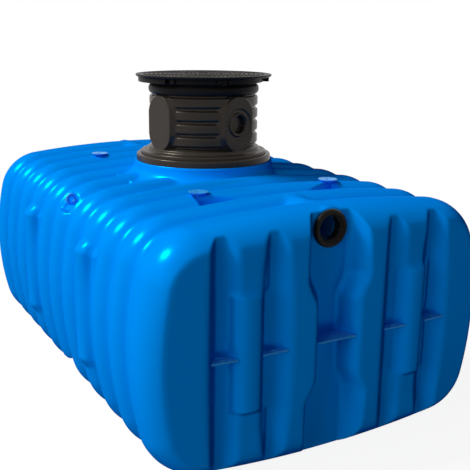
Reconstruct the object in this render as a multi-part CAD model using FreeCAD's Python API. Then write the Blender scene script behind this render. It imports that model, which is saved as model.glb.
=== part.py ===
"""Underground water tank: a ribbed flat tank of blue plastic with an access shaft and cover.

Millimetres, +Z up. The origin is the middle of the underside: x runs across the tank,
y along it, and the shaft stands on the origin's vertical line.
"""
import FreeCAD, Part
import math
import os

from FreeCAD import Vector

# Overall form of the tank body
TANK_WIDTH = 1950.0
TANK_HEIGHT = 1256.0
TANK_LENGTH = 2810.0
SIDE_BULGE = 103.0
ROOF_BULGE = 63.0
CORNER_RADIUS = 283.0
WALL = 10.0

# Girth ribs
RIB_COUNT = 9
RIB_PITCH = 237.0
RIB_DEPTH = 46.0
CREST_WIDTH = 150.0
CREST_ROUND = 12.0
GROOVE_WIDTH = 34.0

# Flat strip under the ribs that the tank stands on
FOOT_WIDTH = 700.0
FOOT_LENGTH = 110.0
FORM_DEPTH = 130.0

# End faces
END_ROUND = 200.0
END_DOME = 38.0
OUTER_CHANNEL_X = 611.0
INNER_CHANNEL_X = 349.0
CHANNEL_MOUTH = 150.0
CHANNEL_FLOOR = 74.0
OUTER_CHANNEL_DEPTH = 66.0
INNER_CHANNEL_DEPTH = 50.0
CENTRE_DEPTH = 112.0
CENTRE_WIDE = 330.0
CENTRE_NARROW = 150.0
CENTRE_TAPER = 70.0
CENTRE_NARROW_LOW = 345.0
CENTRE_NARROW_HIGH = 790.0
CENTRE_STEP = 90.0
END_PAD_X = 480.0
END_PAD_WIDTH = 112.0
END_PAD_LOW = 300.0
END_PAD_HIGH = 905.0
END_PAD_RISE = 22.0
END_PAD_SLOPE = 26.0

# Tabs across the channels
TAB_THICKNESS = 8.0
TAB_SETBACK = 10.0
TAB_HOLE_RADIUS = 9.0

# Raised blocks on two ribs of each side
BLOCK_RIB = 2
BLOCK_WIDTH = 118.0
BLOCK_LOW = 330.0
BLOCK_HIGH = 1000.0
BLOCK_RISE = 34.0
BLOCK_SLOPE = 30.0
BLOCK_ROOT = 75.0

# Inlet and outlet ports
PORT_HEIGHT = 1151.0
PORT_BOSS_RADIUS = 100.0
PORT_HOLE_RADIUS = 62.0
SEAL_OUTER_RADIUS = 87.0
SEAL_BORE_RADIUS = 55.0
SEAL_LENGTH = 46.0
SEAL_FLANGE = 14.0

# Lifting eyes on the middle rib
EYE_WIDTH = 70.0
EYE_THICKNESS = 14.0
EYE_HOLE_RADIUS = 15.0

# Collar in the roof
COLLAR_RADIUS = 520.0
COLLAR_SHOULDER = 455.0
COLLAR_TOP_RADIUS = 412.0
COLLAR_TOP = 1301.0
MANHOLE_RADIUS = 295.0

# Access shaft
SHAFT_WALL = 8.0
BASE_RADIUS = 401.0
BASE_STEP = 14.0
BASE_HEIGHT = 60.0
NECK_RADIUS = 321.0
NECK_TOP = 1668.0
NECK_RIB_COUNT = 5
NECK_GROOVE_DEPTH = 15.0
NECK_GROOVE_WIDTH = 16.0
PAD_COUNT = 4
PAD_TURN = 12.0
PAD_WIDTH = 250.0
PAD_HEIGHT = 300.0
PAD_FACE = 322.0
PAD_BOSS_RADIUS = 62.0
PAD_BOSS_RISE = 8.0
PAD_HOLE_RADIUS = 38.0

# Cover frame and cover
BEAD_RADIUS = 326.0
BEAD_HEIGHT = 66.0
FRAME_RADIUS = 385.0
FRAME_HEIGHT = 50.0
COVER_RADIUS = 400.0
COVER_TOP = 1803.0
COVER_THICKNESS = 18.0
KNOB_RADIUS = 9.0
KNOB_HEIGHT = 3.0
KNOB_RINGS = 4
FIT = 0.3

PARTS_FOLDER = "parts"

HALF_WIDTH = TANK_WIDTH / 2
HALF_HEIGHT = TANK_HEIGHT / 2
HALF_LENGTH = TANK_LENGTH / 2
BARREL_END = RIB_COUNT * RIB_PITCH / 2
UP = Vector(0, 0, 1)
ALONG = Vector(0, 1, 0)
ACROSS = Vector(1, 0, 0)


class Arc:
    """One arc of the cross-section: its centre, radius and the angles where it starts and ends."""

    def __init__(self, name, x, z, radius, start, end):
        self.name = name
        self.centre = Vector(x, 0, z)
        self.radius = radius
        self.start = start
        self.end = end

    def point(self, angle, inset, y):
        reach = self.radius - inset
        offset = Vector(reach * math.cos(angle), y, reach * math.sin(angle))
        return self.centre + offset


def section_arcs():
    """The eight tangent arcs round the tank: two sides, roof, floor and four corners."""
    side_rise = HALF_HEIGHT - ROOF_BULGE
    roof_run = HALF_WIDTH - SIDE_BULGE
    side_radius = (side_rise ** 2 + SIDE_BULGE ** 2) / (2 * SIDE_BULGE)
    roof_radius = (roof_run ** 2 + ROOF_BULGE ** 2) / (2 * ROOF_BULGE)
    side_x = HALF_WIDTH - side_radius
    roof_z = HALF_HEIGHT - roof_radius
    to_side = side_radius - CORNER_RADIUS
    to_roof = roof_radius - CORNER_RADIUS
    gap = math.hypot(side_x, roof_z)
    lean = math.atan2(roof_z, -side_x)
    swing = math.acos((gap ** 2 + to_side ** 2 - to_roof ** 2) / (2 * gap * to_side))
    corner_x = side_x + to_side * math.cos(lean + swing)
    corner_z = to_side * math.sin(lean + swing)
    low = math.atan2(corner_z, corner_x - side_x)
    high = math.atan2(corner_z - roof_z, corner_x)
    turn = math.pi
    middle = HALF_HEIGHT
    return [
        Arc("right_wall", side_x, middle, side_radius, -low, low),
        Arc("upper_right_corner", corner_x, middle + corner_z, CORNER_RADIUS, low, high),
        Arc("roof", 0, middle + roof_z, roof_radius, high, turn - high),
        Arc("upper_left_corner", -corner_x, middle + corner_z, CORNER_RADIUS, turn - high, turn - low),
        Arc("left_wall", -side_x, middle, side_radius, turn - low, turn + low),
        Arc("lower_left_corner", -corner_x, middle - corner_z, CORNER_RADIUS, turn + low, turn + high),
        Arc("floor", 0, middle - roof_z, roof_radius, turn + high, 2 * turn - high),
        Arc("lower_right_corner", corner_x, middle - corner_z, CORNER_RADIUS, 2 * turn - high, 2 * turn - low),
    ]


ARCS = section_arcs()


def outline(inset, y):
    """The closed cross-section at y, moved inwards by inset."""
    edges = []
    for arc in ARCS:
        half_way = (arc.start + arc.end) / 2
        first = arc.point(arc.start, inset, y)
        middle = arc.point(half_way, inset, y)
        last = arc.point(arc.end, inset, y)
        edges.append(Part.Arc(first, middle, last).toShape())
    return Part.Wire(edges)


def rib_edges(y, inset):
    """Half groove, flank, rounded crest, flank and half groove of the rib centred on y."""
    half_crest = CREST_WIDTH / 2
    half_groove = GROOVE_WIDTH / 2
    half_pitch = RIB_PITCH / 2
    points = [
        (-half_pitch, RIB_DEPTH),
        (-half_pitch + half_groove, RIB_DEPTH - CREST_ROUND / 2),
        (-half_crest, CREST_ROUND),
        (0, 0),
        (half_crest, CREST_ROUND),
        (half_pitch - half_groove, RIB_DEPTH - CREST_ROUND / 2),
        (half_pitch, RIB_DEPTH),
    ]
    places = [Vector(-depth - inset, y + along, 0) for along, depth in points]
    crest = Part.Arc(places[2], places[3], places[4]).toShape()
    lines = [Part.makeLine(places[k], places[k + 1]) for k in (0, 1, 4, 5)]
    return lines[:2] + [crest] + lines[2:]


def wall_profile(inset, depth):
    """The wall's section from its outer face, moved in by inset, to a straight line at depth."""
    edges = []
    for number in range(RIB_COUNT):
        y = (number - (RIB_COUNT - 1) / 2) * RIB_PITCH
        edges += rib_edges(y, inset)
    outer = -RIB_DEPTH - inset
    edges.append(Part.makeLine(Vector(outer, BARREL_END, 0), Vector(-depth, BARREL_END, 0)))
    edges.append(Part.makeLine(Vector(-depth, BARREL_END, 0), Vector(-depth, -BARREL_END, 0)))
    edges.append(Part.makeLine(Vector(-depth, -BARREL_END, 0), Vector(outer, -BARREL_END, 0)))
    return Part.Face(Part.Wire(edges))


def wall_form(arc, inset):
    """A thick stretch of the barrel whose outer face is moved in by inset."""
    face = wall_profile(inset, FORM_DEPTH + inset)
    face.translate(Vector(arc.radius, 0, 0))
    face.rotate(Vector(0, 0, 0), ALONG, -math.degrees(arc.start))
    sweep = math.degrees(arc.end - arc.start)
    panel = face.revolve(Vector(0, 0, 0), -ALONG, sweep)
    panel.translate(arc.centre)
    return panel


def wall_panel(arc):
    """One stretch of the barrel: the corrugated section turned about the arc's axis."""
    return wall_form(arc, 0).cut(wall_form(arc, WALL))


def extruded(corners, reach):
    """A prism from the corners of its base, each a Vector."""
    return Part.Face(Part.makePolygon(corners + corners[:1])).extrude(reach)


def side_block(side, y, inset):
    """Raised block on a rib, on the right wall for side 1 and the left wall for side -1."""
    root = side * (HALF_WIDTH - BLOCK_ROOT)
    foot = side * HALF_WIDTH
    face = side * (HALF_WIDTH + BLOCK_RISE - inset)
    start = y - BLOCK_WIDTH / 2 + inset
    corners = [
        Vector(root, start, BLOCK_LOW - BLOCK_SLOPE + inset),
        Vector(foot, start, BLOCK_LOW - BLOCK_SLOPE + inset),
        Vector(face, start, BLOCK_LOW + inset),
        Vector(face, start, BLOCK_HIGH - inset),
        Vector(foot, start, BLOCK_HIGH + BLOCK_SLOPE - inset),
        Vector(root, start, BLOCK_HIGH + BLOCK_SLOPE - inset),
    ]
    return extruded(corners, Vector(0, BLOCK_WIDTH - 2 * inset, 0))


def side_wall(arc, side):
    """A side wall with its two raised blocks, which are hollow like the ribs."""
    outer = wall_form(arc, 0)
    inner = wall_form(arc, WALL)
    for rib in (-BLOCK_RIB, BLOCK_RIB):
        outer = outer.fuse(side_block(side, rib * RIB_PITCH, 0))
        inner = inner.fuse(side_block(side, rib * RIB_PITCH, WALL))
    return outer.cut(inner).removeSplitter()


def floor_panel(arc):
    """The floor, with a flat land under each rib for the tank to stand on."""
    outer = wall_form(arc, 0)
    for number in range(RIB_COUNT):
        y = (number - (RIB_COUNT - 1) / 2) * RIB_PITCH
        corner = Vector(-FOOT_WIDTH / 2, y - FOOT_LENGTH / 2, 0)
        outer = outer.fuse(Part.makeBox(FOOT_WIDTH, FOOT_LENGTH, FORM_DEPTH / 2, corner))
    return outer.cut(wall_form(arc, WALL)).removeSplitter()


def tapered_block(root, outward, across, low, high, width, rise, slope, sunk):
    """A raised block with sloping edges on a flat wall: width and heights are its top face's."""
    def ring(level, spread):
        base = root + outward * level
        side = across * (width / 2 + spread)
        bottom = UP * (low - spread)
        top = UP * (high + spread)
        corners = [base - side + bottom, base + side + bottom, base + side + top, base - side + top]
        return Part.makePolygon(corners + corners[:1])
    foot = slope * (sunk + rise) / rise
    return Part.makeLoft([ring(-sunk, foot), ring(rise, 0)], True, True)


def end_body(inset):
    """The plain end cap: groove, flank, rounded edge and slightly domed face, moved in by inset."""
    groove_half = GROOVE_WIDTH / 2
    flank_foot = -BARREL_END - groove_half
    flank_top = -BARREL_END - (RIB_PITCH - CREST_WIDTH) / 2
    stations = [
        outline(RIB_DEPTH + inset, -BARREL_END),
        outline(RIB_DEPTH - CREST_ROUND / 2 + inset, flank_foot),
        outline(CREST_ROUND + inset, flank_top),
        outline(inset, flank_top - groove_half),
    ]
    neck = Part.makeLoft(stations, True, True)
    face_y = -HALF_LENGTH + inset
    start = flank_top - groove_half
    drum = Part.Face(outline(inset, start)).extrude(Vector(0, face_y - start, 0))
    rim = [edge for edge in drum.Edges if edge.BoundBox.YMax < face_y + FIT]
    drum = drum.makeFillet(END_ROUND - inset, rim)
    reach = HALF_WIDTH - END_ROUND / 2
    dome_radius = (reach ** 2 + END_DOME ** 2) / (2 * END_DOME)
    dome = Part.makeSphere(dome_radius, Vector(0, face_y + dome_radius, HALF_HEIGHT))
    drum = drum.common(dome)
    return neck.fuse(drum)


def channel_cutter(x, mouth, floor, depth, grow):
    """A straight vertical channel, as a tapered bar along the end face."""
    outer_y = -HALF_LENGTH - WALL
    floor_y = -HALF_LENGTH + depth + grow
    slope = (mouth - floor) / 2 / depth
    half_floor = floor / 2 + grow
    half_mouth = half_floor + slope * (floor_y - outer_y)
    corners = [
        Vector(x - half_mouth, outer_y, 0),
        Vector(x + half_mouth, outer_y, 0),
        Vector(x + half_floor, floor_y, 0),
        Vector(x - half_floor, floor_y, 0),
    ]
    section = Part.Face(Part.makePolygon(corners + corners[:1]))
    bar = section.extrude(Vector(0, 0, TANK_HEIGHT + 2 * WALL))
    bar.translate(Vector(0, 0, -WALL))
    return bar


def centre_cutter(grow):
    """The middle channel, wide round the port and at the foot and narrow at mid-height."""
    def ring(y, spread):
        wide = CENTRE_WIDE / 2 + spread
        narrow = CENTRE_NARROW / 2 + spread
        heights = [
            (wide, -WALL),
            (wide, CENTRE_NARROW_LOW - CENTRE_STEP),
            (narrow, CENTRE_NARROW_LOW),
            (narrow, CENTRE_NARROW_HIGH),
            (wide, CENTRE_NARROW_HIGH + CENTRE_STEP),
            (wide, TANK_HEIGHT + WALL),
        ]
        right = [Vector(half, y, z) for half, z in heights]
        left = [Vector(-half, y, z) for half, z in reversed(heights)]
        corners = right + left
        return Part.makePolygon(corners + corners[:1])
    mouth_y = -HALF_LENGTH - WALL
    floor_y = -HALF_LENGTH + CENTRE_DEPTH + grow
    spread = CENTRE_TAPER / 2 * (floor_y - mouth_y) / CENTRE_DEPTH
    return Part.makeLoft([ring(mouth_y, grow + spread), ring(floor_y, grow)], True, True)


def channel_cutters(grow):
    """The five channels of an end face, widened and deepened by grow."""
    cutters = [centre_cutter(grow)]
    for side in (-1, 1):
        outer_x = side * OUTER_CHANNEL_X
        inner_x = side * INNER_CHANNEL_X
        cutters.append(channel_cutter(outer_x, CHANNEL_MOUTH, CHANNEL_FLOOR, OUTER_CHANNEL_DEPTH, grow))
        cutters.append(channel_cutter(inner_x, CHANNEL_MOUTH, CHANNEL_FLOOR, INNER_CHANNEL_DEPTH, grow))
    return cutters


def end_blocks(grow):
    """The two raised blocks between the outer and inner channels."""
    blocks = []
    for side in (-1, 1):
        root = Vector(side * END_PAD_X, -HALF_LENGTH + END_PAD_RISE, 0)
        width = END_PAD_WIDTH - 2 * grow
        rise = END_PAD_RISE - grow
        low = END_PAD_LOW + grow
        high = END_PAD_HIGH - grow
        blocks.append(tapered_block(root, -ALONG, ACROSS, low, high, width, rise, END_PAD_SLOPE, END_DOME))
    return blocks


def port_boss(radius, start, end):
    """A round bar along y on the port's axis."""
    return Part.makeCylinder(radius, end - start, Vector(0, start, PORT_HEIGHT), ALONG)


def end_form(inset):
    """The end cap's full form, outer for inset 0 and inner for inset WALL."""
    body = end_body(inset)
    for block in end_blocks(inset):
        body = body.fuse(block)
    for cutter in channel_cutters(inset):
        body = body.cut(cutter)
    boss_face = -HALF_LENGTH + CENTRE_DEPTH
    boss = port_boss(PORT_BOSS_RADIUS - inset, boss_face + inset, -BARREL_END)
    return body.fuse(boss)


def front_end():
    """The front end as a shell with the port's hole through it."""
    shell = end_form(0).cut(end_form(WALL))
    hole = port_boss(PORT_HOLE_RADIUS, -HALF_LENGTH, -BARREL_END - RIB_PITCH / 4)
    return shell.cut(hole).removeSplitter()


def tab_plate(cutter, body):
    """The slab at mid-height that fills a channel from its floor to the tab's front edge."""
    corner = Vector(-HALF_WIDTH, -HALF_LENGTH + TAB_SETBACK, HALF_HEIGHT - TAB_THICKNESS / 2)
    slab = Part.makeBox(TANK_WIDTH, CENTRE_DEPTH, TAB_THICKNESS, corner)
    return slab.common(cutter).common(body)


def tab_hole(x, depth):
    """The upright hole in the middle of the tab across a channel of this depth."""
    y = -HALF_LENGTH + (TAB_SETBACK + depth) / 2
    return Part.makeCylinder(TAB_HOLE_RADIUS, TANK_HEIGHT, Vector(x, y, 0), UP)


def front_tabs():
    """Flat tabs across the channels at mid-height, all but the middle one with a hole."""
    body = end_body(0)
    tabs = [tab_plate(centre_cutter(0), body)]
    for side in (-1, 1):
        for x, depth in ((OUTER_CHANNEL_X, OUTER_CHANNEL_DEPTH), (INNER_CHANNEL_X, INNER_CHANNEL_DEPTH)):
            cutter = channel_cutter(side * x, CHANNEL_MOUTH, CHANNEL_FLOOR, depth, 0)
            tabs.append(tab_plate(cutter, body).cut(tab_hole(side * x, depth)))
    return Part.makeCompound(tabs)


def port_seal():
    """The rubber ring in the port: a flange on the boss and a sleeve through its wall."""
    face_y = -HALF_LENGTH + CENTRE_DEPTH
    flange = port_boss(SEAL_OUTER_RADIUS, face_y - SEAL_FLANGE, face_y)
    sleeve = port_boss(PORT_HOLE_RADIUS - FIT, face_y, face_y + SEAL_LENGTH - SEAL_FLANGE)
    bore = port_boss(SEAL_BORE_RADIUS, face_y - SEAL_FLANGE, face_y + SEAL_LENGTH - SEAL_FLANGE)
    return flange.fuse(sleeve).cut(bore).removeSplitter()


def rear(shape):
    """The same piece at the rear end."""
    turned = shape.copy()
    turned.rotate(Vector(0, 0, 0), UP, 180)
    return turned


def revolved(points):
    """A ring about the shaft's axis, from the corners of its section as radius and height."""
    corners = [Vector(radius, 0, z) for radius, z in points]
    face = Part.Face(Part.makePolygon(corners + corners[:1]))
    return face.revolve(Vector(0, 0, 0), UP, 360)


def roof_panel(arc):
    """The roof between its corners, open where the collar sits."""
    opening = Part.makeCylinder(COLLAR_RADIUS, TANK_HEIGHT, Vector(0, 0, HALF_HEIGHT), UP)
    return wall_panel(arc).cut(opening)


def roof_collar():
    """The raised ring in the roof that carries the shaft."""
    shoulder_z = TANK_HEIGHT
    edge_z = TANK_HEIGHT - ROOF_BULGE / 2
    foot_z = TANK_HEIGHT - RIB_DEPTH - WALL - ROOF_BULGE / 2
    points = [
        (MANHOLE_RADIUS, COLLAR_TOP),
        (COLLAR_TOP_RADIUS, COLLAR_TOP),
        (COLLAR_SHOULDER, shoulder_z),
        (COLLAR_RADIUS, edge_z),
        (COLLAR_RADIUS, foot_z),
        (COLLAR_RADIUS - WALL, foot_z),
        (COLLAR_RADIUS - WALL, edge_z - WALL),
        (COLLAR_SHOULDER - WALL, shoulder_z - WALL),
        (COLLAR_TOP_RADIUS - WALL, COLLAR_TOP - WALL),
        (MANHOLE_RADIUS, COLLAR_TOP - WALL),
    ]
    return revolved(points)


def shaft_base():
    """The shaft's base flange: two steps and a flare up to the neck."""
    top = COLLAR_TOP + BASE_HEIGHT
    step_z = COLLAR_TOP + BASE_HEIGHT / 2
    points = [
        (MANHOLE_RADIUS, COLLAR_TOP),
        (BASE_RADIUS, COLLAR_TOP),
        (BASE_RADIUS, step_z),
        (BASE_RADIUS - BASE_STEP, step_z),
        (BASE_RADIUS - BASE_STEP, top - BASE_STEP),
        (NECK_RADIUS, top),
        (MANHOLE_RADIUS, top),
    ]
    return revolved(points)


def neck_heights():
    """Lowest and highest point of the ribbed neck."""
    return COLLAR_TOP + BASE_HEIGHT, NECK_TOP


def neck_form(inset):
    """The neck as a solid of revolution with grooves between its ribs, moved in by inset."""
    low, high = neck_heights()
    pitch = (high - low) / NECK_RIB_COUNT
    groove = NECK_GROOVE_WIDTH / 2
    radius = NECK_RADIUS - inset
    points = [(0, low)]
    for rib in range(NECK_RIB_COUNT):
        base = low + rib * pitch
        points.append((radius - NECK_GROOVE_DEPTH, base))
        points.append((radius, base + groove))
        points.append((radius, base + pitch - groove))
    points.append((radius - NECK_GROOVE_DEPTH, high))
    points.append((0, high))
    return revolved(points)


def obround(width, height, start, end):
    """An upright slot-shaped bar along x, from start to end, round the middle of the neck."""
    low, high = neck_heights()
    middle = (low + high) / 2
    half = width / 2
    straight = (height - width) / 2
    top = Vector(start, 0, middle + straight)
    bottom = Vector(start, 0, middle - straight)
    side = ALONG * half
    edges = [
        Part.Arc(top - side, top + UP * half, top + side).toShape(),
        Part.makeLine(top + side, bottom + side),
        Part.Arc(bottom + side, bottom - UP * half, bottom - side).toShape(),
        Part.makeLine(bottom - side, top - side),
    ]
    face = Part.Face(Part.Wire(edges))
    return face.extrude(ACROSS * (end - start))


def pad_azimuths():
    """Directions of the flat pads round the neck, in degrees from +X."""
    return [PAD_TURN + 360.0 * number / PAD_COUNT for number in range(PAD_COUNT)]


def turned_about_shaft(shape, azimuth):
    """A copy of a piece modelled towards +X, turned to another side of the shaft."""
    copy = shape.copy()
    copy.rotate(Vector(0, 0, 0), UP, azimuth)
    return copy


def shaft_neck():
    """The ribbed tube of the shaft, with flat pads where pipes can be let in."""
    outer = neck_form(0)
    inner = Part.makeCylinder(MANHOLE_RADIUS, COVER_TOP, Vector(0, 0, 0), UP)
    tube_start = MANHOLE_RADIUS / 2
    pad = obround(PAD_WIDTH, PAD_HEIGHT, tube_start, PAD_FACE)
    for azimuth in pad_azimuths():
        outer = outer.fuse(turned_about_shaft(pad, azimuth))
    shell = outer.cut(inner)
    return shell.removeSplitter()


def pad_bosses():
    """Round bosses with a hole mark on two facing pads."""
    low, high = neck_heights()
    middle = (low + high) / 2
    boss = Part.makeCylinder(PAD_BOSS_RADIUS, PAD_BOSS_RISE, Vector(PAD_FACE, 0, middle), ACROSS)
    hole = Part.makeCylinder(PAD_HOLE_RADIUS, PAD_BOSS_RISE, Vector(PAD_FACE, 0, middle), ACROSS)
    ring = boss.cut(hole)
    first, third = pad_azimuths()[1::2]
    return Part.makeCompound([turned_about_shaft(ring, first), turned_about_shaft(ring, third)])


def cover_bead():
    """The plain rounded band above the neck."""
    top = NECK_TOP + BEAD_HEIGHT
    points = [
        (MANHOLE_RADIUS, NECK_TOP),
        (NECK_RADIUS - NECK_GROOVE_DEPTH, NECK_TOP),
        (BEAD_RADIUS, NECK_TOP + BEAD_HEIGHT / 4),
        (BEAD_RADIUS, top - BEAD_HEIGHT / 4),
        (BEAD_RADIUS - NECK_GROOVE_DEPTH, top),
        (MANHOLE_RADIUS, top),
    ]
    return revolved(points)


def cover_frame():
    """The frame under the cover: a ring on the bead and a skirt that hangs out from it."""
    low = NECK_TOP + BEAD_HEIGHT
    top = COVER_TOP - COVER_THICKNESS
    points = [
        (MANHOLE_RADIUS, low),
        (BEAD_RADIUS - NECK_GROOVE_DEPTH, low),
        (FRAME_RADIUS, low + (top - low) / 3),
        (FRAME_RADIUS, top),
        (MANHOLE_RADIUS, top),
    ]
    return revolved(points)


def cover():
    """The cover's disc."""
    return Part.makeCylinder(COVER_RADIUS, COVER_THICKNESS, Vector(0, 0, COVER_TOP - COVER_THICKNESS), UP)


def export(name, shape):
    """Write one node's file."""
    shape.exportStep(os.path.join(PARTS_FOLDER, name + ".step"))


def main():
    """Build every piece and write it under its own name."""
    os.makedirs(PARTS_FOLDER, exist_ok=True)
    pieces = {}
    for arc in ARCS:
        if arc.name == "roof":
            pieces[arc.name] = roof_panel(arc)
        elif arc.name == "right_wall":
            pieces[arc.name] = side_wall(arc, 1)
        elif arc.name == "left_wall":
            pieces[arc.name] = side_wall(arc, -1)
        elif arc.name == "floor":
            pieces[arc.name] = floor_panel(arc)
        else:
            pieces[arc.name] = wall_panel(arc)
    pieces["front_end"] = front_end()
    pieces["rear_end"] = rear(pieces["front_end"])
    pieces["front_tabs"] = front_tabs()
    pieces["rear_tabs"] = rear(pieces["front_tabs"])
    pieces["inlet_seal"] = port_seal()
    pieces["outlet_seal"] = rear(pieces["inlet_seal"])
    pieces["roof_collar"] = roof_collar()
    pieces["shaft_base"] = shaft_base()
    pieces["shaft_neck"] = shaft_neck()
    pieces["pad_bosses"] = pad_bosses()
    pieces["cover_bead"] = cover_bead()
    pieces["cover_frame"] = cover_frame()
    pieces["cover"] = cover()
    for name, shape in pieces.items():
        export(name, shape)


main()
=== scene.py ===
"""Underground water tank: blue ribbed shell, brown-black access shaft, black cover, on a pale floor."""
import math
from collections import namedtuple

import bmesh
import bpy
from bpy.props import FloatProperty, FloatVectorProperty, PointerProperty
from bpy.types import Operator, Panel, PropertyGroup
from mathutils import Matrix, Vector


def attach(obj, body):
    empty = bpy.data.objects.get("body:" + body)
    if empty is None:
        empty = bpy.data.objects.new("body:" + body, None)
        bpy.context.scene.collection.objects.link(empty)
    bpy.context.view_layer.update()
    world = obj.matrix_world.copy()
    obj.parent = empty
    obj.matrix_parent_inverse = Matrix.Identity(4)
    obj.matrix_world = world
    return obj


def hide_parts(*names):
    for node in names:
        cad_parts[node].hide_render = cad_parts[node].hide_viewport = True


bl_info = {
    "name": "Underground water tank",
    "version": (1, 0, 0),
    "blender": (4, 5, 0),
    "location": "View3D > Sidebar > Tank",
    "description": "Dresses a ribbed underground water tank with its access shaft and cover",
    "category": "Add Mesh",
}

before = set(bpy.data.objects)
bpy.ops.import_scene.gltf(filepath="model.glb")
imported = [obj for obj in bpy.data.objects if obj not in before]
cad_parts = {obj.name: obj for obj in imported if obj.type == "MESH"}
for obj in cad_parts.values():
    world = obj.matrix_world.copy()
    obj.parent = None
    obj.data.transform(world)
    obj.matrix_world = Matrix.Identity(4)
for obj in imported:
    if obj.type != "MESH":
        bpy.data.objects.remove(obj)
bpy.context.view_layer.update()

# All sizes are in metres. Body and ribs
HALF_LENGTH = 1.405
HALF_HEIGHT = 0.628
HALF_WIDTH = 0.975
SIDE_REACH = 0.9775
SIDE_BULGE = 0.103
ROOF_BULGE = 0.063
CORNER_RADIUS = 0.283
RIB_PITCH = 0.237
RIB_DEPTH = 0.046
GROOVE_HALF = 0.0395
BARREL_END = 1.0665
END_ROUND = 0.200
DOME_RADIUS = 10.093
DOME_BLEND = 0.01
ROOF_EDGE = 0.64
MERGE = 0.00001

# Ports, their bosses and the ridges behind them
PORT_HEIGHT = 1.151
PORT_FACE = -1.291
PORT_HOLE_RADIUS = 0.058
PORT_HOLE_FRONT = -1.2
BOSS_RADIUS = 0.101
BOSS_BLEND = 0.008
RIDGE_DROP = 0.002
RIDGE_HALF_WIDTH = 0.2
RIDGE_BLEND = 0.02

# Concave flare round the shaft
COLLAR_RADIUS = 0.52
FLARE_RADIUS = 0.412
FLARE_WIDTH = 0.088
FLARE_FOOT = 1.210
FLARE_HEIGHT = 0.077
FLARE_LEAST = 0.3
FLARE_BLEND = 0.012
FLARE_PIECE_RADIUS = 0.4455
FLARE_PIECE_LIFT = 0.0005

# Tapered scoops beside the roof lugs
SCOOP_FAR = 0.425
SCOOP_NEAR = 0.185
SCOOP_REACH = (0.16, 0.46)
SCOOP_BACK = 0.022
SCOOP_TAPER = 0.085
SCOOP_FLOOR = 1.168
SCOOP_SLOPE = 6
SCOOP_BLEND = 0.006

# Lands under the ribs
LAND_HALF_WIDTH = 0.35
LAND_HALF_LENGTH = 0.045
LAND_SLOPES = (0.6, 0.9)
LAND_BLEND = 0.002

# Pockets in the middle rib's corners
POCKET_HALF_RUN = 0.042
POCKET_HALF_LENGTH = 0.060
POCKET_SLOPES = (3.0, 2.2)
POCKET_DEPTH = 0.064
POCKET_BLEND = 0.014
POCKET_TILT = math.radians(8)
POCKET_REACH = (0.12, 0.13)

# Tall blocks on the sides
BLOCK_RIB = 2
BLOCK_FACE = 0.9765
BLOCK_MIDDLE = 0.665
BLOCK_HALF_HEIGHT = 0.285
BLOCK_HALF_WIDTH = 0.078
BLOCK_ROUND = 0.060
BLOCK_END_SLOPE = 0.35
BLOCK_END_BEND = 7
BLOCK_BLEND = 0.016
BLOCK_REACH = 0.12
BLOCK_HEIGHTS = (0.22, 1.12)
LEAST_COSINE = 0.3

# Channels of the end faces
OUTER_X = 0.603
INNER_X = 0.342
OUTER_DEPTH = 0.064
INNER_DEPTH = 0.052
OUTER_FLOOR, OUTER_MOUTH = 0.018, 0.096
INNER_FLOOR, INNER_MOUTH = 0.016, 0.092
MIDDLE_DEPTH = 0.114
MIDDLE_FLOOR, MIDDLE_MOUTH = 0.104, 0.195
WAIST_FLOOR, WAIST_MOUTH = 0.050, 0.058
WAIST_HALF_HEIGHT = 0.170
WAIST_EASE = 0.150
CHANNEL_BLEND = 0.010
NO_CHANNEL = -2

# Upright bars between the channels, and the step back round them
BAR_X = 0.476
BAR_MIDDLE = 0.64
BAR_HALF_WIDTH = 0.090
BAR_HALF_HEIGHT = 0.302
BAR_RISE = 0.0110
BAR_EASE = 0.036
BAR_BLEND = 0.008
STEP_BACK = 0.014
STEP_BESIDE = 0.02
STEP_LOW, STEP_HIGH = 0.12, 1.12
STEP_EASE = 0.14

# Grids of the skins, in faces
ROOF_GRID = (230, 370)
SIDES_GRID = (430, 220)
END_GRID = (300, 216)
NECK_GRID = (560, 132)
RIM_SHARE = 0.42

# Middles and outlines of the plates with a hole in the middle rib's corners and on the roof
EYE_PLACE = (0.832, 0, 1.122)
EYE_OUTLINE = [(0.014, -0.008), (0.034, -0.008), (0.034, 0.008), (0.014, 0.008)]
LUG_PLACE = (0.400, 0.718, 1.261)
LUG_OUTLINE = [(0.010, -0.020), (0.030, -0.020), (0.054, -0.003), (0.010, -0.006)]
PLATE_ROUND = 0.004

# Rubber ring and sleeve of a port
SEAL_OUTLINE = [
    (0.0565, 0.004), (0.055, -0.036), (0.0615, -0.036), (0.0615, -0.001), (0.093, -0.001),
    (0.093, 0.012), (0.084, 0.021), (0.070, 0.020), (0.064, 0.010),
]
SEAL_ROUND = 0.008
SLEEVE_OUTLINE = [(0.0610, -0.002), (0.0660, -0.002), (0.0660, -0.170), (0.0610, -0.170)]

# Shaft and cover
BORE_RADIUS = 0.296
COLLAR_TOP = 1.301
NECK_FOOT = 1.366
BASE_TOP = 1.395
NECK_TOP = 1.688
BEAD_TOP = 1.748
FRAME_TOP = 1.786
COVER_TOP = 1.801
NECK_FOOT_RADIUS = 0.300
NECK_RADIUS = 0.321
RIB_STEP = 0.07325
NECK_GROOVE_HALF = 0.0065
NECK_GROOVE_DEPTH = 0.015
NECK_GROOVE_FLANK = 0.014
PAD_FACE = 0.325
PAD_MIDDLE = 1.5285
PAD_HALF_WIDTH = 0.100
PAD_HALF_HEIGHT = 0.152
PAD_TURN = math.radians(11)
PAD_EDGE_DROP = 0.004
PAD_EDGE_WIDTH = 0.012
PAD_SLOPE = 0.85
PAD_BLEND = 0.003
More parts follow.
